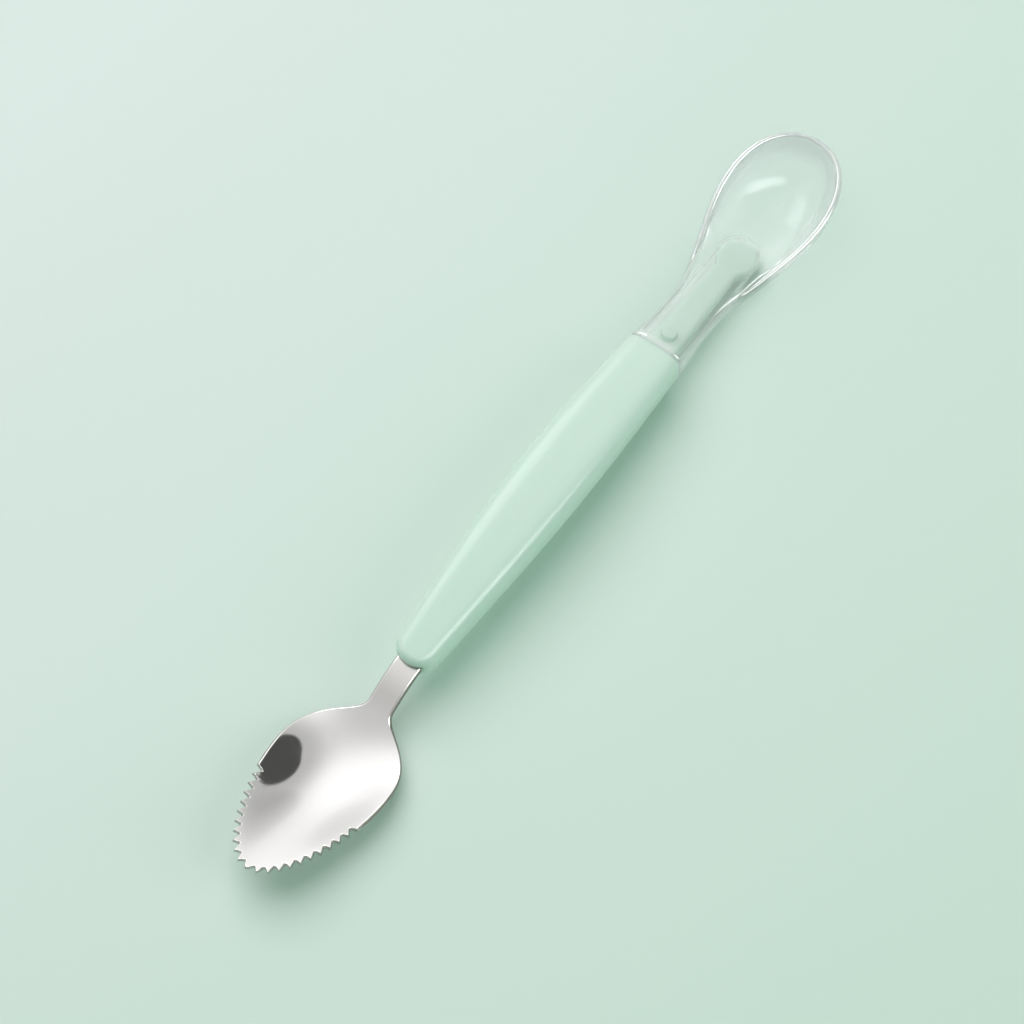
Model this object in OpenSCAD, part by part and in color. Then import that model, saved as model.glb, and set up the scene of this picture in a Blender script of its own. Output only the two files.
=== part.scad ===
// Double-ended baby spoon: a serrated steel scraper bowl and a soft clear spoon head on one moulded handle.
// The long axis is X, with the clear head towards +X. The spoon lies on its two bowls at z = 0.

/* [Handle] */
// Length of the grip from its domed steel end to the mouth of the clear head
grip_len = 74.3; // [66:0.1:90]
// Width of the grip at its widest place
grip_w = 13; // [11.5:0.1:17]
// Thickness of the grip at its thickest place
grip_h = 8.6; // [7.5:0.1:12]
// Distance of the widest place from the steel end
grip_belly = 46; // [30:1:55]
// Width of the grip at the steel end
steel_end_w = 7.6; // [7:0.1:10]
// Thickness of the grip at the steel end
steel_end_h = 6.4; // [5:0.1:8]
// Length of the domed end on the steel side
dome_len = 2.6; // [1.5:0.1:5]
// Angle by which the grip droops towards the steel neck
steel_droop = 6; // [3:0.5:8]
// Angle by which the grip and the tongue droop towards the clear head
head_droop = 7.5; // [4:0.5:9]
// Height of the mouth's centre above the table
mouth_z = 6.8; // [6:0.1:9]
// Squareness of the grip's section, where 2 is an ellipse
grip_square = 3.4; // [2:0.1:4]

/* [Tongue] */
// Length of the tongue from the mouth to the end of its round tip
tongue_len = 30.6; // [26:0.2:32]
// Width of the tongue at the mouth
tongue_root_w = 5.8; // [4.5:0.1:7]
// Width of the tongue where it meets the round tip
tongue_waist_w = 4.1; // [3:0.1:6]
// Thickness of the tongue
tongue_t = 2.7; // [2:0.1:3.2]
// Diameter of the round tip
tip_d = 7.6; // [6:0.1:8]
// Thickness of the round tip
tip_t = 2; // [1.4:0.1:2.4]
// Diameter of the snap button
button_d = 2.9; // [2:0.1:3.6]
// Height of the snap button above the tongue
button_h = 1; // [0.5:0.1:1.5]
// Distance of the snap button from the mouth
button_at = 4.8; // [4:0.1:6]

/* [Steel scraper] */
// Width of the steel bowl
scraper_w = 23; // [18:0.1:28]
// Length of the steel bowl from its widest place to its point
scraper_front = 24.6; // [19:0.1:30]
// Length from the widest place back to the straight neck
scraper_back = 14.9; // [12:0.1:20]
// Height of the rim above the floor of the steel bowl at its widest place
scraper_depth = 4.7; // [3.5:0.1:6.5]
// Height of the bowl's point above the table
scraper_point_z = 9; // [6.5:0.1:11]
// Length of the straight neck outside the grip
neck_len = 8; // [5:0.2:10]
// Width of the neck
neck_w = 5; // [4.8:0.1:6]
// Thickness of the neck
neck_t = 1.5; // [1.4:0.1:1.9]
// Thickness of the sheet in the bowl
sheet_t = 0.8; // [0.6:0.1:1.2]
// Number of teeth on each side of the point
side_teeth = 11; // [7:1:12]
// Distance between teeth along the edge
tooth_pitch = 2; // [1.4:0.1:2.1]
// Depth of the gaps between teeth
tooth_depth = 1.1; // [0.5:0.1:1.4]
// Length of full-width neck that is buried in the grip
neck_bury = 1.2; // [0.6:0.1:3]
// Length of the tang inside the grip
tang_len = 22; // [16:1:26]
// Width of the tang
tang_w = 4.6; // [3.6:0.1:4.7]
// Thickness of the tang
tang_t = 1.2; // [0.8:0.1:1.3]
// Diameter of the moulding-lock holes in the tang
lock_d = 2.4; // [1.8:0.1:3]

/* [Clear head] */
// Length of the clear head from its mouth to its tip
head_len = 52.2; // [48:0.2:58]
// Width of the mouth
mouth_w = 11; // [10.4:0.1:12]
// Thickness of the mouth
mouth_h = 7.8; // [7:0.1:9]
// Width of the waist
waist_w = 9.8; // [9.6:0.1:11]
// Thickness of the waist
waist_h = 5.6; // [5:0.1:6.5]
// Distance of the waist from the mouth
waist_at = 10.6; // [8:0.2:13]
// Width of the clear bowl
soft_w = 21; // [18:0.2:25]
// Distance of the clear bowl's widest place from the mouth
soft_belly = 38.4; // [36.6:0.2:41]
// Height of the rim at the tip above the tongue's axis
rim_rise = 9; // [7:0.1:10]
// Thickness of the clear bowl's wall
soft_wall = 1.3; // [1:0.1:1.8]
// Height of the rounded lip on the rim
lip_h = 0.7; // [0.4:0.1:1.2]

/* [Fits] */
// Gap between the tang and the moulding round it
mould_gap = 0.05; // [0.02:0.01:0.1]
// Gap between the tongue's round tip and the socket, on each side
socket_gap = 0.2; // [0.1:0.05:0.3]
// Gap between the end of the tongue and the end of the socket
socket_end_gap = 0.4; // [0.2:0.1:0.8]
// Gap between the clear mouth and the shoulder of the grip
seat_gap = 0.1; // [0.05:0.05:0.3]
// Depth of the flat rest cut on the underside of each bowl
rest_cut = 0.12; // [0.05:0.01:0.2]

/* [Hidden] */
$fn = 64;

// Sides of a lofted ring
ring_sides = 36;
// Share of the section that is left at the end of the dome
dome_end_share = 0.55;
// Outline of a gap between teeth, up to the tooth nearer the point: [share of pitch, share of depth]
gap_outline = [[0.85, 0.66], [0.65, 1], [0.35, 0.55], [0, 0]];
// How much the dish flattens towards its rim, where 0 leaves a parabola
rim_flatten = 0.4;
// Power by which the dish falls as the bowl narrows to its neck
dish_power = 2.1;
// Squareness of the clear bowl's section, where 2 is an ellipse
bowl_square = 2.2;
// Length over which a cut runs past what it cuts
past = 1;

// Shares that set how long each curve holds its direction before it turns
neck_hold = 0.3;
floor_hold = 0.3;
point_hold = 0.5;
point_rise = 0.5;
back_plan_hold = 0.24;
front_plan_hold = 0.4;
point_plan_hold = 0.28;
waist_hold = 0.42;
belly_lead = 0.64;
belly_hold = 0.56;
tip_plan_hold = 0.29;
under_hold = 0.5;
under_rise = 0.3;
scoop_hold = 0.55;
scoop_rise = 0.35;

// Share of the steel bowl's front that the feet of its ribs spread over
rib_foot_share = 0.8;
// Places of the lock holes along the tang
lock_shares = [0.35, 0.75];
// Share of the snap button's height that is straight, and share of its width that is left on top
button_straight = 0.6;
button_top = 0.7;
// Where the rim starts to rise and the crown starts to fall, in distances of the waist from the mouth
rim_start = 1.1;
crown_start = 1.4;
// Share of a round tip at which its last ring lies
tip_stop = 0.98;

// The grip is bent to one large arc, level where it is highest
arch_r = grip_len / (sin(steel_droop) + sin(head_droop));
arch_top_z = mouth_z + arch_r * (1 - cos(head_droop));
steel_end_z = arch_top_z - arch_r * (1 - cos(steel_droop));

// Reach of the two ends from the steel end of the grip, used to centre the spoon on x = 0
steel_reach = neck_len + scraper_back + scraper_front;
head_reach = grip_len + head_len * cos(head_droop) + (rim_rise + lip_h) * sin(head_droop);
steel_end_x = (steel_reach - head_reach) / 2;
mouth_x = steel_end_x + grip_len;

// Places along the steel spoon
neck_end_x = steel_end_x - neck_len;
scraper_belly_x = neck_end_x - scraper_back;
point_x = scraper_belly_x - scraper_front;
floor_z = sheet_t / 2 - rest_cut;

// Places along the clear head, measured from the mouth along the tongue
socket_w = tip_d + 2 * socket_gap;
socket_h = tongue_t + 2 * socket_gap;
tip_at = tongue_len - tip_d / 2;
socket_end = tongue_len + socket_end_gap;
soft_under_z = -(mouth_z - soft_belly * sin(head_droop) + rest_cut) / cos(head_droop);
scoop_floor_z = soft_under_z + soft_wall;

// The scoop starts above the socket, falls behind its end and lies level past the bowl's widest place
scoop_from = socket_end - 6;
scoop_brow = socket_end + 3.6;
scoop_foot = socket_end + 4.4;
scoop_level = soft_belly + 1.5;
scoop_skin = 0.2;
least_depth = 0.05;

// Maths for curves and lofts

function mix(a, b, f) = a + (b - a) * f;

// Even steps from 0 up to 1, without the last one or with it
function steps_below(n) = [for (i = [0:n - 1]) i / n];
function steps_to(n) = [for (i = [0:n]) i / n];

function ease(f) = let(g = min(1, max(0, f))) g * g * (3 - 2 * g);

function bezier(p, t) =
    let(s = 1 - t)
    s * s * s * p[0] + 3 * s * s * t * p[1] + 3 * s * t * t * p[2] + t * t * t * p[3];

function bezier_slope(p, t) =
    let(s = 1 - t)
    3 * s * s * (p[1] - p[0]) + 6 * s * t * (p[2] - p[1]) + 3 * t * t * (p[3] - p[2]);

function round_power(v, square) = sign(v) * pow(abs(v), 2 / square);

// A closed ring in the plane across the loft, with its own height above and below the widest line
function ring(half_w, above, below, square) = [
    for (i = [0:ring_sides - 1])
        let(
            a = 360 * i / ring_sides,
            up = round_power(sin(a), square)
        )
        [half_w * round_power(cos(a), square), up * (up > 0 ? above : below)]
];

// Triangles between rings of equal length, closed at both ends
module loft(rings) {
    n = len(rings[0]);
    last = (len(rings) - 1) * n;
    sides = [
        for (i = [0:len(rings) - 2], j = [0:n - 1])
            let(k = (j + 1) % n)
            each [
                [i * n + j, i * n + n + k, i * n + k],
                [i * n + j, i * n + n + j, i * n + n + k]
            ]
    ];
    caps = [[for (j = [0:n - 1]) j], [for (j = [n - 1:-1:0]) last + j]];
    polyhedron([for (r = rings) each r], concat(sides, caps), convexity = 6);
}

// Steel scraper

// Middle line of the sheet from the side: the neck runs down to the floor, which rises to the point
neck_curve = [
    [steel_end_x, steel_end_z],
    [steel_end_x - neck_len * cos(steel_droop), steel_end_z - neck_len * sin(steel_droop)],
    [neck_end_x - scraper_back * neck_hold, floor_z],
    [scraper_belly_x, floor_z]
];
point_curve = [
    [scraper_belly_x, floor_z],
    [scraper_belly_x - scraper_front * floor_hold, floor_z],
    [point_x + scraper_front * point_hold, mix(floor_z, scraper_point_z, point_rise)],
    [point_x, scraper_point_z]
];
side_line = concat(
    [for (t = steps_below(24)) bezier(neck_curve, t)],
    [for (t = steps_to(24)) bezier(point_curve, t)]
);

function middle_z(x) =
    x > steel_end_x
        ? steel_end_z + (x - steel_end_x) * tan(steel_droop)
        : lookup(x, side_line);
function middle_slope(x, dx = 0.1) = (middle_z(x + dx) - middle_z(x - dx)) / (2 * dx);

// Half of the bowl's plan from the neck to the widest place, and from there to the point
back_plan = [
    [neck_end_x, neck_w / 2],
    [neck_end_x - scraper_back * back_plan_hold, neck_w / 2],
    [neck_end_x - scraper_back * back_plan_hold, scraper_w / 2],
    [scraper_belly_x, scraper_w / 2]
];
front_plan = [
    [scraper_belly_x, scraper_w / 2],
    [scraper_belly_x - scraper_front * front_plan_hold, scraper_w / 2],
    [point_x, scraper_w * point_plan_hold],
    [point_x, 0]
];
plan_line = concat(
    [for (t = steps_below(32)) bezier(back_plan, t)],
    [for (t = steps_to(48)) bezier(front_plan, t)]
);
function half_plan(x) = max(least_depth, lookup(x, plan_line));

// Height of the rim above the middle line at x: the rim rises evenly to the point and falls to the neck
rim_slope = (scraper_point_z - floor_z - scraper_depth) / scraper_front;
function dish_rise(x) =
    let(
        g = min(1, max(0, (neck_end_x - x) / scraper_back)),
        lead = rim_slope * scraper_back / scraper_depth,
        narrowing = pow(2 * half_plan(x) / scraper_w, dish_power)
    )
    x > scraper_belly_x
        ? scraper_depth * (ease(g) + lead * g * g * (g - 1)) * narrowing
        : floor_z + scraper_depth + (scraper_belly_x - x) * rim_slope - middle_z(x);

// Section of the dish and its slope, at a share f of its half width
function dish(f) = (1 + rim_flatten) * pow(f, 2) - rim_flatten * pow(f, 4);
function dish_slope(f) = 2 * (1 + rim_flatten) * f - 4 * rim_flatten * pow(f, 3);

// The sheet thins from the neck to the bowl
function steel_thickness(x) =
    mix(neck_t, sheet_t, ease((neck_end_x + neck_len / 3 - x) / scraper_back));

// A point on the upper (1) or under (-1) face of the dished sheet
function sheet_point(p, face) =
    let(
        half = half_plan(p.x),
        f = min(1, abs(p.y) / half),
        rise = dish_rise(p.x),
        along = middle_slope(p.x),
        across = rise * dish_slope(f) / half,
        lift = steel_thickness(p.x) / 2 * sqrt(1 + along * along + across * across)
    )
    [p.x, p.y, middle_z(p.x) + rise * dish(f) + face * lift];

// Length of the front edge from the point back to each sample of its curve
edge_step = 1 / 80;
function edge_lengths(t, so_far) =
    t < edge_step / 2
        ? [[so_far, 0]]
        : let(before = t - edge_step)
            concat(
                [[so_far, t]],
                edge_lengths(before, so_far + norm(bezier(front_plan, t) - bezier(front_plan, before)))
            );
edge_table = edge_lengths(1, 0);
edge_len = edge_table[len(edge_table) - 1][0];

// A point of the front edge at a length from the bowl's point, set in by some depth
function edge_point(s, inset) =
    let(
        t = lookup(s, edge_table),
        d = bezier_slope(front_plan, t)
    )
    bezier(front_plan, t) + inset * [-d.y, d.x] / norm(d);

// A rib of the front half runs from the middle line to the edge: [its foot's x, its point on the edge]
function front_rib(s, inset) =
    [scraper_belly_x - scraper_front * rib_foot_share * (1 - s / edge_len), edge_point(s, inset)];

function straight_rib(p) = [p.x, p];

teeth_len = side_teeth * tooth_pitch;
half_ribs = concat(
    [straight_rib([steel_end_x + neck_bury, neck_w / 2])],
    [for (f = steps_below(6)) straight_rib([mix(steel_end_x, neck_end_x, f), neck_w / 2])],
    [for (t = steps_below(16)) straight_rib(bezier(back_plan, t))],
    [for (f = steps_to(6)) front_rib(mix(edge_len, teeth_len, f), 0)],
    [for (k = [side_teeth - 1:-1:0], g = gap_outline)
        front_rib((k + g[0]) * tooth_pitch, g[1] * tooth_depth)]
);
point_rib = len(half_ribs) - 1;
rib_steps = 6;

// Place of a rib's step in the list of points: both sides share the middle line
function rib_index(k, r) =
    let(row = r == 0 && k > point_rib ? 2 * point_rib - k : k)
    row * (rib_steps + 1) + r;

function rib_points(face) = [
    for (k = [0:2 * point_rib], r = [0:rib_steps])
        let(
            side = k > point_rib ? -1 : 1,
            rib = half_ribs[k > point_rib ? 2 * point_rib - k : k],
            f = r / rib_steps
        )
        sheet_point([mix(rib[0], rib[1].x, f), side * f * rib[1].y], face)
];

// The dished and serrated sheet: two faces of ribs, joined along the edge and across the end of the neck
module pressing() {
    upper = rib_points(1);
    under = rib_points(-1);
    n = len(upper);
    last = 2 * point_rib;
    quads = concat(
        [for (k = [0:last - 1], r = [0:rib_steps - 1])
            [rib_index(k, r), rib_index(k + 1, r), rib_index(k + 1, r + 1), rib_index(k, r + 1)]],
        [for (k = [0:last - 1], r = [0:rib_steps - 1])
            [for (q = [[k, r], [k, r + 1], [k + 1, r + 1], [k + 1, r]]) n + rib_index(q[0], q[1])]],
        [for (k = [0:last - 1])
            let(a = rib_index(k, rib_steps), b = rib_index(k + 1, rib_steps))
            [a, b, n + b, n + a]],
        [for (r = [0:rib_steps - 1])
            let(a = rib_index(0, r), b = rib_index(0, r + 1))
            [a, b, n + b, n + a]],
        [for (r = [0:rib_steps - 1])
            let(a = rib_index(last, r), b = rib_index(last, r + 1))
            [b, a, n + a, n + b]]
    );
    polyhedron(
        concat(upper, under),
        [for (q = quads) each [[q[0], q[1], q[2]], [q[0], q[2], q[3]]]],
        convexity = 6
    );
}

// Puts a shape drawn along +X from the grip's steel end on the tang's slope
module at_tang() {
    translate([steel_end_x, 0, steel_end_z])
        rotate([0, -steel_droop, 0])
            children();
}

module lock_places() {
    for (f = lock_shares)
        translate([tang_len * f, 0, 0])
            children();
}

// A flat bar centred on the axis, from one distance to another along it
module bar(from, to, w, t) {
    translate([from, -w / 2, -t / 2])
        cube([to - from, w, t]);
}

module scraper_spoon() {
    color("silver") {
        difference() {
            pressing();
            translate([point_x - past, -scraper_w, -scraper_w])
                cube([steel_reach, 2 * scraper_w, scraper_w]);
        }
        at_tang()
            difference() {
                bar(-neck_bury, tang_len, tang_w, tang_t);
                lock_places() cylinder(d = lock_d, h = 2 * tang_t, center = true);
            }
    }
}

// Handle

// Half of a grip size at a distance from the steel end: it swells to the belly and falls to the mouth
function swell(p, at_steel, at_belly, at_mouth) =
    p < grip_belly
        ? mix(at_steel, at_belly, sin(90 * p / grip_belly)) / 2
        : mix(at_mouth, at_belly, cos(90 * (p - grip_belly) / (grip_len - grip_belly))) / 2;

function dome_share(p) =
    p < dome_len
        ? sqrt(1 - (1 - dome_end_share * dome_end_share) * pow(1 - p / dome_len, 2))
        : 1;

function grip_ring(p) =
    let(
        lean = asin(p / arch_r - sin(steel_droop)),
        mid_z = arch_top_z - arch_r * (1 - cos(lean)),
        half_w = dome_share(p) * swell(p, steel_end_w, grip_w, mouth_w),
        half_h = dome_share(p) * swell(p, steel_end_h, grip_h, mouth_h)
    )
    [for (q = ring(half_w, half_h, half_h, grip_square))
        [steel_end_x + p + q.y * sin(lean), q.x, mid_z + q.y * cos(lean)]];

module grip() {
    dome_stops = [for (f = steps_below(5)) dome_len * (1 - cos(90 * f))];
    grip_stops = [for (f = steps_to(26)) mix(dome_len, grip_len, f)];
    loft([for (p = concat(dome_stops, grip_stops)) grip_ring(p)]);
}

// Puts a shape drawn along +X from the mouth on the drooping tongue's axis
module at_mouth() {
    translate([mouth_x, 0, mouth_z])
        rotate([0, head_droop, 0])
            children();
}

module tongue() {
    root = 2 * past;
    translate([0, 0, -tongue_t / 2])
        linear_extrude(tongue_t)
            polygon([
                [-root, -tongue_root_w / 2],
                [tip_at, -tongue_waist_w / 2],
                [tip_at, tongue_waist_w / 2],
                [-root, tongue_root_w / 2]
            ]);
    translate([tip_at, 0, -tip_t / 2])
        cylinder(d = tip_d, h = tip_t);
    translate([button_at, 0, 0]) {
        straight_h = tongue_t / 2 + button_h * button_straight;
        cylinder(d = button_d, h = straight_h);
        translate([0, 0, straight_h])
            cylinder(d1 = button_d, d2 = button_d * button_top, h = button_h * (1 - button_straight));
    }
}

// The space that the neck and the tang take up inside the grip
module tang_slot() {
    at_tang() {
        bar(
            -dome_len,
            neck_bury / cos(steel_droop) + neck_t * sin(steel_droop),
            neck_w + 2 * mould_gap,
            neck_t + 2 * mould_gap
        );
        bar(0, tang_len + mould_gap, tang_w + 2 * mould_gap, tang_t + 2 * mould_gap);
    }
}

module handle() {
    color([0.66, 0.87, 0.77]) {
        difference() {
            grip();
            tang_slot();
        }
        at_tang()
            lock_places() cylinder(d = lock_d - 2 * mould_gap, h = 2 * tang_t, center = true);
        at_mouth() tongue();
    }
}

// Clear head

// Half of the head's plan, from the mouth to the waist, the belly of the bowl and the tip
head_plan = concat(
    [for (f = steps_below(8)) [waist_at * f, mix(mouth_w, waist_w, ease(f)) / 2]],
    [for (t = steps_below(24))
        bezier([
            [waist_at, waist_w / 2],
            [mix(waist_at, soft_belly, waist_hold), waist_w / 2],
            [mix(waist_at, soft_belly, belly_lead), soft_w / 2],
            [soft_belly, soft_w / 2]
        ], t)],
    [for (t = steps_to(48))
        bezier([
            [soft_belly, soft_w / 2],
            [mix(soft_belly, head_len, belly_hold), soft_w / 2],
            [head_len, soft_w * tip_plan_hold],
            [head_len, 0]
        ], t)]
);
function head_half_w(x) = lookup(x, head_plan);

// Height of the widest line, which is the rim along the bowl
function rim_z(x) = rim_rise * ease((x - rim_start * waist_at) / (head_len - rim_start * waist_at));

// Height of the underside
head_under = concat(
    [for (f = steps_below(8)) [waist_at * f, -mix(mouth_h, waist_h, ease(f)) / 2]],
    [for (f = steps_below(8)) [mix(waist_at, soft_belly, f), mix(-waist_h / 2, soft_under_z, ease(f))]],
    [for (t = steps_to(48))
        bezier([
            [soft_belly, soft_under_z],
            [mix(soft_belly, head_len, under_hold), soft_under_z],
            [head_len - lip_h, mix(soft_under_z, rim_rise, under_rise)],
            [head_len, rim_rise - lip_h]
        ], t)]
);
function under_z(x) = lookup(x, head_under);

// Height of the crown above the widest line: half the socket's thickness, falling to the rounded lip
function crown_h(x) =
    x < waist_at
        ? mix(mouth_h, waist_h, ease(x / waist_at)) / 2
        : mix(waist_h / 2, lip_h, ease(x / (crown_start * waist_at) - 1));

function head_ring(x) = [
    let(square = mix(grip_square, bowl_square, ease(x / soft_belly)))
    for (q = ring(head_half_w(x), crown_h(x), rim_z(x) - under_z(x), square))
        [x, q.x, q.y + rim_z(x)]
];

module head_body() {
    back_stops = [for (f = steps_below(18)) mix(seat_gap, soft_belly, f)];
    front_stops = [for (f = steps_to(14)) mix(soft_belly, head_len, sin(90 * min(f, tip_stop)))];
    loft([for (x = concat(back_stops, front_stops)) head_ring(x)]);
}

// Floor of the scoop: it runs down behind the end of the socket and rises to the rim at the tip
scoop_end = head_len - soft_wall;
scoop_floor = concat(
    [for (t = steps_below(24))
        bezier([
            [scoop_from, rim_z(scoop_from) + crown_h(scoop_from)],
            [scoop_brow, waist_h / 2 + scoop_skin],
            [scoop_foot, scoop_floor_z],
            [scoop_level, scoop_floor_z]
        ], t)],
    [for (t = steps_to(48))
        bezier([
            [scoop_level, scoop_floor_z],
            [mix(soft_belly, scoop_end, scoop_hold), scoop_floor_z],
            [scoop_end - lip_h, mix(scoop_floor_z, rim_rise, scoop_rise)],
            [scoop_end, rim_rise]
        ], t)]
);

// Half of the scoop's plan: one wall inside the head's plan, and at the front its outline drawn in
function scoop_half_w(x) =
    x < soft_belly
        ? head_half_w(x) - soft_wall
        : head_half_w(mix(soft_belly, head_len, (x - soft_belly) / (scoop_end - soft_belly)))
            * (1 - 2 * soft_wall / soft_w);

function scoop_ring(x) =
    let(
        half_w = scoop_half_w(x),
        floor = lookup(x, scoop_floor),
        rim = max(rim_z(x), floor + least_depth),
        arc = [for (f = steps_to(20)) [
            -half_w * round_power(cos(180 * f), bowl_square),
            mix(rim, floor, round_power(sin(180 * f), bowl_square))
        ]],
        open_z = rim_rise + 3 * past
    )
    [for (q = concat(arc, [[half_w + past, open_z], [-half_w - past, open_z]])) [x, q.x, q.y]];

module scoop() {
    back_stops = [for (f = steps_below(12)) mix(scoop_from, soft_belly, f)];
    front_stops = [for (f = steps_to(12)) mix(soft_belly, scoop_end, sin(90 * min(f, tip_stop)))];
    loft([for (x = concat(back_stops, front_stops)) scoop_ring(x)]);
}

// Section of the socket, a flat slot with rounded corners
module socket_section() {
    r = socket_h / 4;
    square([socket_w - 2 * r, socket_h], center = true);
    square([socket_w, socket_h - 2 * r], center = true);
    for (sy = [-1, 1], sz = [-1, 1])
        translate([sy * (socket_w / 2 - r), sz * (socket_h / 2 - r)])
            circle(r);
}

module socket() {
    intersection() {
        translate([-past, 0, 0])
            rotate([90, 0, 90])
                linear_extrude(socket_end + past) socket_section();
        union() {
            translate([-2 * past, -socket_w / 2 - past, -socket_h])
                cube([tip_at + 2 * past, socket_w + 2 * past, 2 * socket_h]);
            translate([tip_at, 0, -socket_h])
                cylinder(r = socket_end - tip_at, h = 2 * socket_h);
        }
    }
}

module clear_spoon_head() {
    color([0.9, 0.97, 0.94, 0.4])
        difference() {
            at_mouth()
                difference() {
                    head_body();
                    scoop();
                    socket();
                    translate([button_at, 0, 0])
                        cylinder(d = button_d + 2 * socket_gap, h = mouth_h);
                }
            translate([mouth_x, -soft_w, -2 * soft_w])
                cube([2 * head_len, 2 * soft_w, 2 * soft_w]);
        }
}

scraper_spoon();
handle();
clear_spoon_head();
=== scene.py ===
import math

import bmesh
import bpy
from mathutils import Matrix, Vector


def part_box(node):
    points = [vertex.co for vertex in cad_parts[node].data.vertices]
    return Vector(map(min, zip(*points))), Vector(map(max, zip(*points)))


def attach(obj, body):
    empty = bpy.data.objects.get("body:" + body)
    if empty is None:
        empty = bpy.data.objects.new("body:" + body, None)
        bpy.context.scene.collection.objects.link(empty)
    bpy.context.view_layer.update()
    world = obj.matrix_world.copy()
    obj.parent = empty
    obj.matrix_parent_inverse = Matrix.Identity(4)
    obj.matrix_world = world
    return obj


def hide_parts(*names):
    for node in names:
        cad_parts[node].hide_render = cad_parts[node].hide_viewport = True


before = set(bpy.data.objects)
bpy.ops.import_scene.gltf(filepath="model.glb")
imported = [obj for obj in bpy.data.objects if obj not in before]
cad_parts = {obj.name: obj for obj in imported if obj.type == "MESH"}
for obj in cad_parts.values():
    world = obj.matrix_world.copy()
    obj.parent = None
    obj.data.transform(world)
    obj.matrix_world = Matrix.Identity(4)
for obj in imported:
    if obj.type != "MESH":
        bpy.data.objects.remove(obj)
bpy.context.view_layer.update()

mm = 0.001
mergeGap = 1e-7  # metres; points nearer than this are one point
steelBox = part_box("scraper_spoon")
print("frame loaded")


# Small maths shared by the pieces

def mix(a, b, f):
    return a + (b - a) * f


def ease(f):
    f = min(1.0, max(0.0, f))
    return f * f * (3 - 2 * f)


def bezier(points, t):
    s = 1 - t
    weights = (s * s * s, 3 * s * s * t, 3 * s * t * t, t * t * t)
    return tuple(sum(w * p[i] for w, p in zip(weights, points)) for i in range(2))


def steps(count, last=True):
    return [i / count for i in range(count + 1 if last else count)]


def quarterTurn(count):
    return [math.pi / 2 * f for f in steps(count)]


def fullTurn(count):
    return [2 * math.pi * i / count for i in range(count)]


def lookup(table, x):
    # table: (x, value) pairs with x rising
    if x <= table[0][0]:
        return table[0][1]
    for (x0, v0), (x1, v1) in zip(table, table[1:]):
        if x <= x1:
            return mix(v0, v1, (x - x0) / max(x1 - x0, 1e-9))
    return table[-1][1]


def superPower(v, square):
    return math.copysign(abs(v) ** (2 / square), v)


def sagitta(f, square):
    # height of a unit superellipse at a share f of its half width
    return max(0.0, 1 - min(1.0, abs(f)) ** square) ** (1 / square)


def smoothMin(a, b, blend):
    h = max(blend - abs(a - b), 0) / blend
    return min(a, b) - h * h * blend / 4


# Mesh helpers

def meshObject(name, bm):
    mesh = bpy.data.meshes.new(name)
    bm.to_mesh(mesh)
    bm.free()
    obj = bpy.data.objects.new(name, mesh)
    bpy.context.scene.collection.objects.link(obj)
    return obj


def mirroredGrid(rows, closeStart, layers=()):
    # rows of (x, y, z) in mm for the +Y half; the -Y half is mirrored and the two are merged on y = 0
    bm = bmesh.new()
    for name, values in layers:
        kind = bm.verts.layers.float_vector if isinstance(values[0][0], Vector) else bm.verts.layers.float
        kind.new(name)
    for side in (1, -1):
        grid = []
        for k, row in enumerate(rows):
            line = []
            for j, p in enumerate(row):
                vert = bm.verts.new((p[0] * mm, p[1] * side * mm, p[2] * mm))
                for name, values in layers:
                    value = values[k][j]
                    if isinstance(value, Vector):
                        layer = bm.verts.layers.float_vector[name]
                        vert[layer] = Vector((value.x, value.y * side, value.z)) * mm
                    else:
                        vert[bm.verts.layers.float[name]] = value
                line.append(vert)
            grid.append(line)
        for a, b in zip(grid, grid[1:]):
            for j in range(len(a) - 1):
                quad = [a[j], b[j], b[j + 1], a[j + 1]]
                bm.faces.new(quad if side == 1 else quad[::-1])
        if closeStart:
            half = len(grid[0]) // 2
            for j in range(half):
                quad = [grid[0][j], grid[0][j + 1], grid[0][-2 - j], grid[0][-1 - j]]
                if len(set(quad)) == 4:
                    bm.faces.new(quad if side == 1 else quad[::-1])
    bmesh.ops.remove_doubles(bm, verts=bm.verts, dist=mergeGap)
    bmesh.ops.dissolve_degenerate(bm, edges=bm.edges, dist=mergeGap / 10)
    bmesh.ops.recalc_face_normals(bm, faces=bm.faces)
    return bm


def ringLoft(rings):
    # closed rings of (x, y, z) in mm, with both ends capped
    bm = bmesh.new()
    grid = [[bm.verts.new((p[0] * mm, p[1] * mm, p[2] * mm)) for p in ring] for ring in rings]
    count = len(grid[0])
    for a, b in zip(grid, grid[1:]):
        for j in range(count):
            k = (j + 1) % count
            bm.faces.new([a[j], a[k], b[k], b[j]])
    bm.faces.new(grid[0][::-1])
    bm.faces.new(grid[-1])
    bmesh.ops.remove_doubles(bm, verts=bm.verts, dist=mergeGap)
    bmesh.ops.recalc_face_normals(bm, faces=bm.faces)
    return bm


def settle(obj):
    # turns an object with live modifiers into a plain mesh
    graph = bpy.context.evaluated_depsgraph_get()
    mesh = bpy.data.meshes.new_from_object(obj.evaluated_get(graph))
    mesh.name = obj.name
    obj.modifiers.clear()
    obj.data = mesh


def boolean(obj, tool, operation):
    modifier = obj.modifiers.new(operation.lower(), "BOOLEAN")
    modifier.operation = operation
    modifier.solver = "EXACT"
    modifier.object = tool
    settle(obj)
    bpy.data.objects.remove(tool)


def smoothShade(obj, angle):
    # edges that turn by more than an angle, in degrees, stay sharp
    mesh = obj.data
    mesh.polygons.foreach_set("use_smooth", [True] * len(mesh.polygons))
    mesh.set_sharp_from_angle(angle=math.radians(angle))


def dress(obj, material, body, node):
    obj.data.materials.clear()
    obj.data.materials.append(material)
    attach(obj, body)
    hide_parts(node)


# Node helpers

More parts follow.
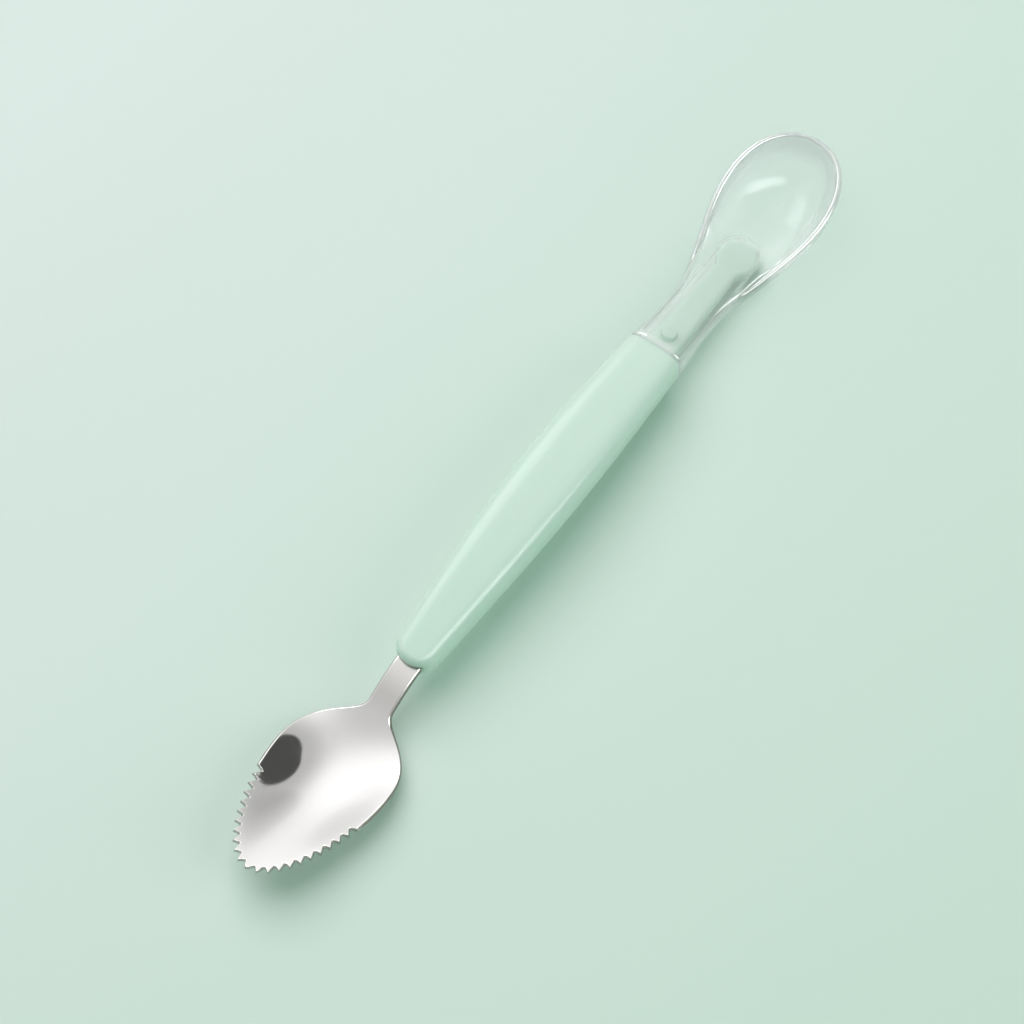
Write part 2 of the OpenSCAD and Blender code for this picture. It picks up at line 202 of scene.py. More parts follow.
def link(tree, value, socket):
    if isinstance(value, bpy.types.NodeSocket):
        tree.links.new(value, socket)
    else:
        socket.default_value = value


def mathNode(tree, operation, *values):
    node = tree.nodes.new("ShaderNodeMath")
    node.operation = operation
    for value, socket in zip(values, node.inputs):
        link(tree, value, socket)
    return node.outputs[0]


def geometryTree(name, inputs):
    tree = bpy.data.node_groups.new(name, "GeometryNodeTree")
    tree.interface.new_socket("Geometry", in_out="INPUT", socket_type="NodeSocketGeometry")
    for label, kind in inputs:
        tree.interface.new_socket(label, in_out="INPUT", socket_type=kind)
    tree.interface.new_socket("Geometry", in_out="OUTPUT", socket_type="NodeSocketGeometry")
    return tree, tree.nodes.new("NodeGroupInput"), tree.nodes.new("NodeGroupOutput")


def finishTree(tree, geometry, material, output):
    realize = tree.nodes.new("GeometryNodeRealizeInstances")
    paint = tree.nodes.new("GeometryNodeSetMaterial")
    tree.links.new(geometry, realize.inputs["Geometry"])
    tree.links.new(realize.outputs["Geometry"], paint.inputs["Geometry"])
    tree.links.new(material, paint.inputs["Material"])
    tree.links.new(paint.outputs["Geometry"], output.inputs["Geometry"])


def runTree(obj, tree, values):
    modifier = obj.modifiers.new(tree.name, "NODES")
    modifier.node_group = tree
    ids = {item.name: item.identifier for item in tree.interface.items_tree if item.in_out == "INPUT"}
    for label, value in values.items():
        modifier[ids[label]] = value
    settle(obj)


# Materials

def newMaterial(name):
    material = bpy.data.materials.new(name)
    material.use_nodes = True
    tree = material.node_tree
    return material, tree, tree.nodes["Principled BSDF"]


def shaderGroup(name, inputs, outputs):
    tree = bpy.data.node_groups.new(name, "ShaderNodeTree")
    for label, kind in inputs:
        tree.interface.new_socket(label, in_out="INPUT", socket_type=kind)
    for label, kind in outputs:
        tree.interface.new_socket(label, in_out="OUTPUT", socket_type=kind)
    return tree, tree.nodes.new("NodeGroupInput"), tree.nodes.new("NodeGroupOutput")


cloudNoise = {"scale": 60.0, "detail": 3.0}
noiseSpan = (0.3, 0.7)  # the range that most of a noise lies in


def fineGrainGroup():
    # even small-scale unevenness, stretched along one axis when asked
    tree, source, output = shaderGroup(
        "fineGrain",
        [("Scale", "NodeSocketVector"), ("Detail", "NodeSocketFloat")],
        [("Grain", "NodeSocketFloat"), ("Cloud", "NodeSocketFloat")],
    )
    coords = tree.nodes.new("ShaderNodeTexCoord")
    stretch = tree.nodes.new("ShaderNodeVectorMath")
    stretch.operation = "MULTIPLY"
    grain = tree.nodes.new("ShaderNodeTexNoise")
    cloud = tree.nodes.new("ShaderNodeTexNoise")
    tree.links.new(coords.outputs["Object"], stretch.inputs[0])
    tree.links.new(source.outputs["Scale"], stretch.inputs[1])
    tree.links.new(stretch.outputs[0], grain.inputs["Vector"])
    tree.links.new(source.outputs["Detail"], grain.inputs["Detail"])
    tree.links.new(coords.outputs["Object"], cloud.inputs["Vector"])
    grain.inputs["Scale"].default_value = 1.0
    cloud.inputs["Scale"].default_value = cloudNoise["scale"]
    cloud.inputs["Detail"].default_value = cloudNoise["detail"]
    tree.links.new(grain.outputs["Fac"], output.inputs["Grain"])
    tree.links.new(cloud.outputs["Fac"], output.inputs["Cloud"])
    return tree


fineGrain = fineGrainGroup()


def grainNode(tree, finish):
    node = tree.nodes.new("ShaderNodeGroup")
    node.node_tree = fineGrain
    node.inputs["Scale"].default_value = finish["grain"]
    node.inputs["Detail"].default_value = finish["grainDetail"]
    return node


def rampNode(tree, value, low, high):
    node = tree.nodes.new("ShaderNodeMapRange")
    link(tree, value, node.inputs["Value"])
    node.inputs["From Min"].default_value = noiseSpan[0]
    node.inputs["From Max"].default_value = noiseSpan[1]
    node.inputs["To Min"].default_value = low
    node.inputs["To Max"].default_value = high
    return node.outputs["Result"]


def mixNode(tree, factor, low, high):
    node = tree.nodes.new("ShaderNodeMix")
    link(tree, factor, node.inputs["Factor"])
    link(tree, low, node.inputs["A"])
    link(tree, high, node.inputs["B"])
    return node.outputs["Result"]


def tintNode(tree, factor, low, high):
    node = tree.nodes.new("ShaderNodeMix")
    node.data_type = "RGBA"
    link(tree, factor, node.inputs["Factor"])
    for colour, socket in zip((low, high), [s for s in node.inputs if s.type == "RGBA"]):
        link(tree, (*colour, 1) if isinstance(colour, tuple) else colour, socket)
    return [s for s in node.outputs if s.type == "RGBA"][0]


def bumpNode(tree, height, finish):
    node = tree.nodes.new("ShaderNodeBump")
    node.inputs["Strength"].default_value = finish["bump"]
    node.inputs["Distance"].default_value = finish["bumpDepth"] * mm
    link(tree, height, node.inputs["Height"])
    return node.outputs["Normal"]


def linear(*colour):
    # display colour, 0 to 255, to scene colour
    shares = [c / 255 for c in colour]
    return tuple(s / 12.92 if s <= 0.04045 else ((s + 0.055) / 1.055) ** 2.4 for s in shares)


# the cut colour is partly the rough sheared metal and partly painted shade on the cut faces
steelFinish = {
    "dull": (0.785, 0.777, 0.763), "bright": (0.835, 0.826, 0.812), "rough": (0.05, 0.09),
    "satin": (0.62, 0.61, 0.595), "satinRough": 0.24, "cut": (0.3, 0.28, 0.25), "cutRough": 0.4,
    "grain": (260.0, 5200.0, 5200.0), "grainDetail": 2.0, "bump": 0.08, "bumpDepth": 0.02,
}


def steelMaterial():
    # polished sheet, very finely brushed along its length, with a satin neck, and cut edges whose dark
    # colour is partly rough sheared metal and partly painted shade
    material, tree, shader = newMaterial("polishedSteel")
    grain = grainNode(tree, steelFinish)
    shade = tintNode(tree, grain.outputs["Cloud"], steelFinish["dull"], steelFinish["bright"])
    rough = rampNode(tree, grain.outputs["Grain"], *steelFinish["rough"])
    for name, colour, level in (("satinNeck", "satin", "satinRough"), ("cutFace", "cut", "cutRough")):
        face = tree.nodes.new("ShaderNodeAttribute")
        face.attribute_name = name
        shade = tintNode(tree, face.outputs["Fac"], shade, steelFinish[colour])
        rough = mixNode(tree, face.outputs["Fac"], rough, steelFinish[level])
    tree.links.new(shade, shader.inputs["Base Color"])
    tree.links.new(rough, shader.inputs["Roughness"])
    tree.links.new(bumpNode(tree, grain.outputs["Grain"], steelFinish), shader.inputs["Normal"])
    shader.inputs["Metallic"].default_value = 1.0
    return material


# the dark seam colour is a painted contact shadow, and the cover share darkens the tongue as painted shade
# under the clear head
plasticFinish = {
    "light": (215, 238, 224), "deep": (212, 236, 221), "seamShade": (72, 86, 68), "headShade": 0.84,
    "rough": (0.15, 0.2), "ior": 1.49, "gloss": 0.42, "glow": 0.7, "glowDepth": (2.2, 2.8, 2.5),
    "grain": (9000.0, 9000.0, 9000.0), "grainDetail": 2.0, "bump": 0.03, "bumpDepth": 0.01,
}


def plasticMaterial():
    # glossy pale mint moulding, faintly uneven, with painted shade on the tongue under the clear head and a
    # painted contact shadow where the steel goes into the grip
    material, tree, shader = newMaterial("mintPlastic")
    grain = grainNode(tree, plasticFinish)
    light = linear(*plasticFinish["light"])
    shade = tintNode(tree, grain.outputs["Cloud"], linear(*plasticFinish["deep"]), light)
    # the tongue under the clear head is painted darker as shade, and a dark painted contact shadow lies
    # where the steel goes in
    dull = tuple(c * plasticFinish["headShade"] for c in light)
    for name, colour in (("headShade", dull), ("steelSeamShade", linear(*plasticFinish["seamShade"]))):
        mask = tree.nodes.new("ShaderNodeAttribute")
        mask.attribute_name = name
        shade = tintNode(tree, mask.outputs["Fac"], shade, colour)
    tree.links.new(shade, shader.inputs["Base Color"])
    rough = rampNode(tree, grain.outputs["Grain"], *plasticFinish["rough"])
    tree.links.new(rough, shader.inputs["Roughness"])
    tree.links.new(bumpNode(tree, grain.outputs["Grain"], plasticFinish), shader.inputs["Normal"])
    shader.inputs["IOR"].default_value = plasticFinish["ior"]
    shader.inputs["Specular IOR Level"].default_value = plasticFinish["gloss"]
    shader.inputs["Subsurface Weight"].default_value = plasticFinish["glow"]
    shader.inputs["Subsurface Radius"].default_value = [d * mm for d in plasticFinish["glowDepth"]]
    shader.inputs["Subsurface Scale"].default_value = 1.0
    return material


# the lip colour tints the rim greyer: painted shade
siliconeFinish = {
    "wall": (0.985, 1.0, 0.993), "lip": (0.88, 0.85, 0.88), "shade": (0.95, 0.97, 0.96),
    "wallAlpha": 0.5, "lipAlpha": 1.0, "wallCoat": 0.05, "lipCoat": 1.0, "coatIor": 2.2,
    "rough": (0.02, 0.04), "ior": 1.38, "clear": 0.85,
    "grain": (160.0, 160.0, 160.0), "grainDetail": 1.0, "bump": 0.02, "bumpDepth": 0.1,
}


def siliconeMaterial():
    # clear moulded silicone, with a greyer rim painted as shade: lamps shine through it on to what lies
    # below
    material, tree, shader = newMaterial("clearSilicone")
    grain = grainNode(tree, siliconeFinish)
    rough = rampNode(tree, grain.outputs["Grain"], *siliconeFinish["rough"])
    tree.links.new(rough, shader.inputs["Roughness"])
    tree.links.new(bumpNode(tree, grain.outputs["Cloud"], siliconeFinish), shader.inputs["Normal"])
    shader.inputs["IOR"].default_value = siliconeFinish["ior"]
    shader.inputs["Transmission Weight"].default_value = siliconeFinish["clear"]
    shader.inputs["Coat IOR"].default_value = siliconeFinish["coatIor"]
    lip = tree.nodes.new("ShaderNodeAttribute")
    lip.attribute_name = "lipEdge"
    edge = lip.outputs["Fac"]
    # the rim's greyer tint is painted shade for how the thick clear edge looks; the same mask makes the rim
    # solid and coated
    shade = tintNode(tree, edge, siliconeFinish["wall"], siliconeFinish["lip"])
    tree.links.new(shade, shader.inputs["Base Color"])
    for name, socket in (("Alpha", "Alpha"), ("Coat", "Coat Weight")):
        level = mixNode(tree, edge, siliconeFinish["wall" + name], siliconeFinish["lip" + name])
        tree.links.new(level, shader.inputs[socket])
    path = tree.nodes.new("ShaderNodeLightPath")
    clear = tree.nodes.new("ShaderNodeBsdfTransparent")
    clear.inputs["Color"].default_value = (*siliconeFinish["shade"], 1)
    blend = tree.nodes.new("ShaderNodeMixShader")
    through = mathNode(tree, "MAXIMUM", path.outputs["Is Shadow Ray"], path.outputs["Is Diffuse Ray"])
    tree.links.new(through, blend.inputs["Fac"])
    tree.links.new(shader.outputs["BSDF"], blend.inputs[1])
    tree.links.new(clear.outputs["BSDF"], blend.inputs[2])
    tree.links.new(blend.outputs["Shader"], tree.nodes["Material Output"].inputs["Surface"])
    return material


polishedSteel = steelMaterial()
mintPlastic = plasticMaterial()
clearSilicone = siliconeMaterial()
print("materials ready")


# Where the pieces lie along the spoon: lengths are in mm, and x is from the middle of its plan

scraper = {
    "width": 23.0, "front": 24.6, "back": 14.9, "depth": 4.7, "pointZ": 9.0,
    "neckLen": 8.0, "neckW": 5.0, "neckT": 1.5, "sheetT": 0.8, "buried": 1.2,
    "rimFlatten": 0.4, "dishPower": 2.1, "restCut": 0.12, "edgeRound": 0.3, "cutRound": 0.18,
    "teeth": 11, "pitch": 2.0, "toothDepth": 1.1, "lean": 0.62, "roundness": 0.6,
    "toothReach": 3.0, "satinFade": 2.5, "footShare": 0.8, "leastHalf": 0.05, "pastRim": 1.02, "sharp": 50,
}
scraperHolds = {  # how far the handles of its curves reach, as shares of the lengths that they lie along
    "neckFloor": 0.3, "pointFloor": 0.3, "pointRise": 0.5, "back": 0.24, "side": 0.4, "nose": 0.28,
}
scraperDetail = {  # points on its curves, and rows of its mesh
    "line": 160, "front": 400, "edge": 800, "neckRows": 24, "backRows": 60, "plainRows": 16,
    "rowsPerTooth": 20, "across": 22, "round": 6,
}
grip = {
    "length": 74.3, "lead": 0.4, "belly": 46.0, "width": 13.0, "height": 8.59, "square": 3.4,
    "steelEndW": 7.6, "steelEndH": 6.4, "nose": 3.2, "noseEnd": 0.03, "edge": 1.4, "edgeEnd": 0.62,
    "mouthW": 11.0, "mouthH": 7.8, "mouthZ": 6.8,
    "steelDroop": math.radians(6), "headDroop": math.radians(7.5), "sharp": 35,
    "stations": 150, "sides": 120, "crowding": 1.5,
}
pointX = steelBox[0].x / mm
bellyX = pointX + scraper["front"]
neckX = bellyX + scraper["back"]
steelEndX = neckX + scraper["neckLen"]
mouthX = steelEndX + grip["length"]
toothedRun = scraper["teeth"] * scraper["pitch"]
steelSin, steelCos = math.sin(grip["steelDroop"]), math.cos(grip["steelDroop"])
headSin, headCos = math.sin(grip["headDroop"]), math.cos(grip["headDroop"])
archR = grip["length"] / (steelSin + headSin)
archTop = grip["mouthZ"] + archR * (1 - headCos)
steelEndZ = archTop - archR * (1 - steelCos)
floorZ = scraper["sheetT"] / 2 - scraper["restCut"]


# Steel scraper: a dished sheet on a flat neck, drawn as ribs from its middle line to its edge

neckCurve = [
    (steelEndX, steelEndZ),
    (steelEndX - scraper["neckLen"] * steelCos, steelEndZ - scraper["neckLen"] * steelSin),
    (neckX - scraper["back"] * scraperHolds["neckFloor"], floorZ),
    (bellyX, floorZ),
]
pointCurve = [
    (bellyX, floorZ),
    (bellyX - scraper["front"] * scraperHolds["pointFloor"], floorZ),
    (
        mix(pointX, bellyX, scraperHolds["pointRise"]),
        mix(scraper["pointZ"], floorZ, scraperHolds["pointRise"]),
    ),
    (pointX, scraper["pointZ"]),
]
sideLine = [bezier(neckCurve, t) for t in steps(scraperDetail["line"], False)]
sideLine += [bezier(pointCurve, t) for t in steps(scraperDetail["line"])]
sideLine.sort()
backPlan = [
    (neckX, scraper["neckW"] / 2),
    (neckX - scraper["back"] * scraperHolds["back"], scraper["neckW"] / 2),
    (neckX - scraper["back"] * scraperHolds["back"], scraper["width"] / 2),
    (bellyX, scraper["width"] / 2),
]
frontPlan = [
    (bellyX, scraper["width"] / 2),
    (bellyX - scraper["front"] * scraperHolds["side"], scraper["width"] / 2),
    (pointX, scraper["width"] * scraperHolds["nose"]),
    (pointX, 0.0),
]
planLine = [bezier(backPlan, t) for t in steps(scraperDetail["line"], False)]
planLine += [bezier(frontPlan, t) for t in steps(scraperDetail["front"])]
planLine.sort()
rimSlope = (scraper["pointZ"] - floorZ - scraper["depth"]) / scraper["front"]


def dishRise(x, middle, half):
    # height of the rim above the middle line: it rises evenly to the point and falls to the neck
    if x < bellyX:
        return floorZ + scraper["depth"] + (bellyX - x) * rimSlope - middle
    g = min(1.0, max(0.0, (neckX - x) / scraper["back"]))
    lead = rimSlope * scraper["back"] / scraper["depth"]
    narrowing = (2 * half / scraper["width"]) ** scraper["dishPower"]
    return scraper["depth"] * (ease(g) + lead * g * g * (g - 1)) * narrowing


def sheetMiddle(x, y):
    # middle of the sheet's thickness; past the neck it runs on straight into the grip
    if x > steelEndX:
        middle = steelEndZ + (x - steelEndX) * math.tan(grip["steelDroop"])
    else:
        middle = lookup(sideLine, x)
    half = max(scraper["leastHalf"], lookup(planLine, x))
    f, flat = min(scraper["pastRim"], abs(y) / half), scraper["rimFlatten"]
    section = (1 + flat) * f ** 2 - flat * f ** 4
    return Vector((x, y, middle + dishRise(x, middle, half) * section))


def sheetNormal(x, y):
    step = 0.05
    alongX = sheetMiddle(x + step, y) - sheetMiddle(x - step, y)
    alongY = sheetMiddle(x, y + step) - sheetMiddle(x, y - step)
    return alongX.cross(alongY).normalized()


def sheetThickness(x):
    # it thins from a third of the way along the neck
    share = ease((neckX + scraper["neckLen"] / 3 - x) / scraper["back"])
    return mix(scraper["neckT"], scraper["sheetT"], share)


def edgeTable():
    # length of the front edge from the point back to each sample of its curve
    table, run = [(0.0, 1.0)], 0.0
    count = scraperDetail["edge"]
    for i in range(count, 0, -1):
        run += math.dist(bezier(frontPlan, i / count), bezier(frontPlan, (i - 1) / count))
        table.append((run, (i - 1) / count))
    return table


def scraperRibs():
    # (foot x, edge point, length of edge from the point)
    table = edgeTable()
    edgeLen = table[-1][0]
    half = scraper["neckW"] / 2
    noTeeth = 99.0  # a length of edge past every tooth
    tangX = steelEndX + scraper["buried"]
    ribs = [(tangX, (tangX, half), noTeeth)]
    for f in steps(scraperDetail["neckRows"], False):
        x = mix(steelEndX, neckX, f)
        ribs.append((x, (x, half), noTeeth))
    for t in steps(scraperDetail["backRows"], False):
        p = bezier(backPlan, t)
        ribs.append((p[0], p, noTeeth))
    runs = [mix(edgeLen, toothedRun, f) for f in steps(scraperDetail["plainRows"], False)]
    runs += [toothedRun * (1 - f) for f in steps(scraper["teeth"] * scraperDetail["rowsPerTooth"])]
    for run in runs:
        p = bezier(frontPlan, lookup(table, run))
        foot = mix(bellyX - scraper["front"] * scraper["footShare"], bellyX, run / edgeLen)
        ribs.append((foot, p, run))
    return ribs


ribShares = [math.sin(math.pi / 2 * f) for f in steps(scraperDetail["across"], False)]
edgeTurns = quarterTurn(scraperDetail["round"])[::-1]


def ribRow(foot, edge, run, inset):
    # out along the upper face, round the edge and back along the under face; an inset draws the edge in
    inner = 0.98  # just inside the edge, to take its slope
    backStep = 0.02
    rib = Vector((edge[0] - foot, edge[1]))
    rise = sheetMiddle(*edge).z - sheetMiddle(foot + rib.x * inner, rib.y * inner).z
    tilt = math.atan2(rise, (1 - inner) * rib.length)
    length = rib.length - math.sin(tilt) * sheetThickness(edge[0]) / 2
    rib.normalize()
    plain = ease((run - toothedRun) / scraper["pitch"])
    r = mix(scraper["cutRound"], scraper["edgeRound"] * sheetThickness(edge[0]), plain)
    upper, under = [], []

    def place(d):
        x, y = foot + rib.x * d, rib.y * d
        return sheetMiddle(x, y), sheetNormal(x, y), sheetThickness(x) / 2

    for f in ribShares:
        d = f * (length - r)
        middle, normal, t = place(d - inset * max(0.0, 1 - (length - r - d) / scraper["toothReach"]))
        upper.append(middle + normal * t)
        under.append(middle - normal * t)
    base = length - r - inset
    middle, normal, t = place(base)
    out = (middle - place(base - backStep)[0]).normalized()
    for a in edgeTurns:
        lift = normal * (t - r + r * math.sin(a))
        upper.append(middle + out * r * math.cos(a) + lift)
        under.append(middle + out * r * math.cos(a) - lift)
    row = upper + under[::-1]
    for p in row:
        p.z = max(p.z, 0.0)  # flat where it rests
    row[0].y = row[-1].y = 0.0
    return row


cutDullAndShade = {  # how dull, and how darkened by painted shade, the cut edge is at each of its turns, from the upper face out
    "tooth": [0, 0, 0, 0.2, 0.5, 0.6, 0.6], "plain": [0, 0, 0.2, 0.6, 1, 1, 1],
}


def dullAndShadeRow(kind):
    flat = [0.0] * len(ribShares)
    return flat + cutDullAndShade[kind] + cutDullAndShade[kind][-1:] * len(edgeTurns) + flat


def scraperBlank():
    # the plain pressing, with the way that each point goes where a tooth is cut
    rows, cuts, edgeRun, cutFace, satinNeck = [], [], [], [], []
    depth, fade = scraper["toothDepth"], scraper["satinFade"]
    toothFace, plainFace = dullAndShadeRow("tooth"), dullAndShadeRow("plain")
    for foot, edge, run in scraperRibs():
        row, drawnIn = ribRow(foot, edge, run, 0.0), ribRow(foot, edge, run, depth)
        if run == 0:
            for p in row + drawnIn:
                p.y = 0.0
        rows.append(row)
        cuts.append([(q - p) / depth for p, q in zip(row, drawnIn)])
        edgeRun.append([run] * len(row))
        # each point's share of the dark cut colour, which is partly painted shade
        share = ease((toothedRun + scraper["pitch"] - run) / scraper["pitch"])
        cutFace.append([mix(a, b, share) for a, b in zip(plainFace, toothFace)])
        satinNeck.append([ease((p.x - neckX + fade) / (2 * fade)) for p in row])
    layers = [("cutPath", cuts), ("edgeRun", edgeRun), ("cutFace", cutFace), ("satinNeck", satinNeck)]
    return meshObject("scraperSpoon", mirroredGrid(rows, True, layers))


def serrationTree():
    tree, source, output = geometryTree("serration", [
        ("Teeth", "NodeSocketFloat"), ("Pitch", "NodeSocketFloat"), ("Depth", "NodeSocketFloat"),
        ("Lean", "NodeSocketFloat"), ("Roundness", "NodeSocketFloat"), ("Material", "NodeSocketMaterial"),
    ])

    def attribute(name, kind):
        node = tree.nodes.new("GeometryNodeInputNamedAttribute")
        node.data_type = kind
        node.inputs["Name"].default_value = name
        return node.outputs["Attribute"]

    run = attribute("edgeRun", "FLOAT")
    phase = mathNode(tree, "FRACT", mathNode(tree, "DIVIDE", run, source.outputs["Pitch"]))
    leanLog = mathNode(tree, "LOGARITHM", source.outputs["Lean"], math.e)
    power = mathNode(tree, "DIVIDE", math.log(0.5), leanLog)  # puts the middle of each cut at the lean
    leaned = mathNode(tree, "POWER", phase, power)
    arc = mathNode(tree, "SINE", mathNode(tree, "MULTIPLY", leaned, math.pi))
    fold = mathNode(tree, "PINGPONG", mathNode(tree, "MULTIPLY", leaned, 2.0), 1.0)
    rounder = mathNode(tree, "MULTIPLY", mathNode(tree, "SUBTRACT", arc, fold), source.outputs["Roundness"])
    cut = mathNode(tree, "ADD", fold, rounder)
    toothed = mathNode(tree, "MULTIPLY", source.outputs["Teeth"], source.outputs["Pitch"])
    gate = mathNode(tree, "LESS_THAN", run, toothed)
    amount = mathNode(tree, "MULTIPLY", mathNode(tree, "MULTIPLY", cut, gate), source.outputs["Depth"])
    offset = tree.nodes.new("ShaderNodeVectorMath")
    offset.operation = "SCALE"
    tree.links.new(attribute("cutPath", "FLOAT_VECTOR"), offset.inputs[0])
    tree.links.new(amount, offset.inputs["Scale"])
    move = tree.nodes.new("GeometryNodeSetPosition")
    tree.links.new(source.outputs["Geometry"], move.inputs["Geometry"])
    tree.links.new(offset.outputs[0], move.inputs["Offset"])
    finishTree(tree, move.outputs["Geometry"], source.outputs["Material"], output)
    return tree


def makeScraper():
    obj = scraperBlank()
    runTree(obj, serrationTree(), {
        "Teeth": float(scraper["teeth"]), "Pitch": scraper["pitch"], "Depth": scraper["toothDepth"],
        "Lean": scraper["lean"], "Roundness": scraper["roundness"], "Material": polishedSteel,
    })
    smoothShade(obj, scraper["sharp"])
    dress(obj, polishedSteel, "spoon", "scraper_spoon")
    print("steel scraper:", len(obj.data.polygons), "faces")


makeScraper()


# Handle: a grip that swells and falls along one arc, and a flat tongue that carries the clear head

def gripTree():
    tree, source, output = geometryTree("swellingGrip", [
        ("Stations", "NodeSocketInt"), ("Sides", "NodeSocketInt"), ("Crowding", "NodeSocketFloat"),
        ("Start", "NodeSocketFloat"), ("Length", "NodeSocketFloat"), ("Belly", "NodeSocketFloat"),
        ("Width", "NodeSocketFloat"), ("Height", "NodeSocketFloat"),
        ("Steel End Width", "NodeSocketFloat"), ("Steel End Height", "NodeSocketFloat"),
        ("Mouth Width", "NodeSocketFloat"), ("Mouth Height", "NodeSocketFloat"),
        ("Nose", "NodeSocketFloat"), ("Nose End", "NodeSocketFloat"),
        ("Edge", "NodeSocketFloat"), ("Edge End", "NodeSocketFloat"), ("Square", "NodeSocketFloat"),
        ("Arch Radius", "NodeSocketFloat"), ("Arch Top", "NodeSocketFloat"), ("Droop", "NodeSocketFloat"),
        ("Material", "NodeSocketMaterial"),
    ])
    size = source.outputs
    tube = tree.nodes.new("GeometryNodeMeshCylinder")
    tube.inputs["Radius"].default_value = 1.0
    tube.inputs["Depth"].default_value = 1.0
    tree.links.new(size["Sides"], tube.inputs["Vertices"])
    tree.links.new(size["Stations"], tube.inputs["Side Segments"])
    place = tree.nodes.new("ShaderNodeSeparateXYZ")
    tree.links.new(tree.nodes.new("GeometryNodeInputPosition").outputs[0], place.inputs[0])

    def calc(operation, *values):
        return mathNode(tree, operation, *values)

    share = calc("MAXIMUM", calc("ADD", place.outputs["Z"], 0.5), 0.0)
    along = calc("MULTIPLY", calc("POWER", share, size["Crowding"]), size["Length"])  # denser at the dome
    before = calc("MINIMUM", calc("DIVIDE", along, size["Belly"]), 1.0)
    pastBelly = calc("SUBTRACT", along, size["Belly"])
    after = calc("DIVIDE", calc("MAXIMUM", pastBelly, 0.0), calc("SUBTRACT", size["Length"], size["Belly"]))
    lackSteel = calc("SUBTRACT", 1.0, calc("SINE", calc("MULTIPLY", before, math.pi / 2)))
    lackMouth = calc("SUBTRACT", 1.0, calc("COSINE", calc("MULTIPLY", after, math.pi / 2)))

    def closing(reach, end):
        # share of the full section: it falls to an end share over a reach, on an elliptic round
        toEnd = calc("MAXIMUM", calc("SUBTRACT", 1.0, calc("DIVIDE", along, reach)), 0.0)
        loss = calc("SUBTRACT", 1.0, calc("MULTIPLY", end, end))
        return calc("SQRT", calc("SUBTRACT", 1.0, calc("MULTIPLY", loss, calc("MULTIPLY", toEnd, toEnd))))

    def half(full, steelEnd, mouth, closed):
        fallSteel = calc("MULTIPLY", calc("SUBTRACT", full, steelEnd), lackSteel)
        fallMouth = calc("MULTIPLY", calc("SUBTRACT", full, mouth), lackMouth)
        swell = calc("SUBTRACT", calc("SUBTRACT", full, fallSteel), fallMouth)
        return calc("MULTIPLY", calc("MULTIPLY", swell, 0.5), closed)

    power = calc("DIVIDE", 2.0, size["Square"])

    def rounded(value):
        return calc("MULTIPLY", calc("SIGN", value), calc("POWER", calc("ABSOLUTE", value), power))

    noseShare = closing(size["Nose"], size["Nose End"])
    edgeShare = closing(size["Edge"], size["Edge End"])
    halfWidth = half(size["Width"], size["Steel End Width"], size["Mouth Width"], noseShare)
    halfHeight = half(size["Height"], size["Steel End Height"], size["Mouth Height"], edgeShare)
    across = calc("MULTIPLY", rounded(place.outputs["X"]), halfWidth)
    above = calc("MULTIPLY", rounded(place.outputs["Y"]), halfHeight)
    leanSine = calc("SUBTRACT", calc("DIVIDE", along, size["Arch Radius"]), calc("SINE", size["Droop"]))
    leanCosine = calc("SQRT", calc("SUBTRACT", 1.0, calc("MULTIPLY", leanSine, leanSine)))
    fall = calc("MULTIPLY", size["Arch Radius"], calc("SUBTRACT", 1.0, leanCosine))
    middle = calc("SUBTRACT", size["Arch Top"], fall)
    forward = calc("ADD", size["Start"], along)
    point = tree.nodes.new("ShaderNodeCombineXYZ")
    tree.links.new(calc("ADD", forward, calc("MULTIPLY", above, leanSine)), point.inputs[0])
    tree.links.new(across, point.inputs[1])
    tree.links.new(calc("ADD", middle, calc("MULTIPLY", above, leanCosine)), point.inputs[2])
    metres = tree.nodes.new("ShaderNodeVectorMath")
    metres.operation = "SCALE"
    metres.inputs["Scale"].default_value = mm
    tree.links.new(point.outputs[0], metres.inputs[0])
    move = tree.nodes.new("GeometryNodeSetPosition")
    tree.links.new(tube.outputs["Mesh"], move.inputs["Geometry"])
    tree.links.new(metres.outputs[0], move.inputs["Position"])
    finishTree(tree, move.outputs["Geometry"], size["Material"], output)
    return tree


def atMouth(p):
    # from the tongue's own axes, with x out from the mouth, to the spoon's
    x, y, z = p
    return (mouthX + x * headCos + z * headSin, y, max(0.0, grip["mouthZ"] - x * headSin + z * headCos))


# the painted contact shadow over the steel where it goes into the grip, and the fade of the tongue's painted
# shade at the clear head's mouth
seamShade = {"rise": 1.2, "side": 0.35, "depth": 0.9, "fade": 0.6, "coverFade": 0.2}


def steelSeamShade(place):
    # 1 against the steel's upper face where it goes into the grip, easing to 0 away from it: where the grip
    # gets its painted contact shadow
    dx, dz = place.x / mm - steelEndX, place.z / mm - steelEndZ
    aside = max(0.0, abs(place.y) / mm - scraper["neckW"] / 2)
    above = dz * steelCos - dx * steelSin - scraper["neckT"] / 2
    near = 1 - ease(aside / seamShade["side"])
    near *= 1 - ease(above / seamShade["rise"])
    near *= 1 - ease(-above / seamShade["side"])
    return near * (1 - ease((dx - seamShade["depth"]) / seamShade["fade"]))


def headShade(place):
    # 1 on what the clear head covers, easing to 0 at the mouth: where the tongue gets its painted shade
    dx, dz = place.x / mm - mouthX, place.z / mm - grip["mouthZ"]
    return ease((dx * headCos - dz * headSin) / seamShade["coverFade"])


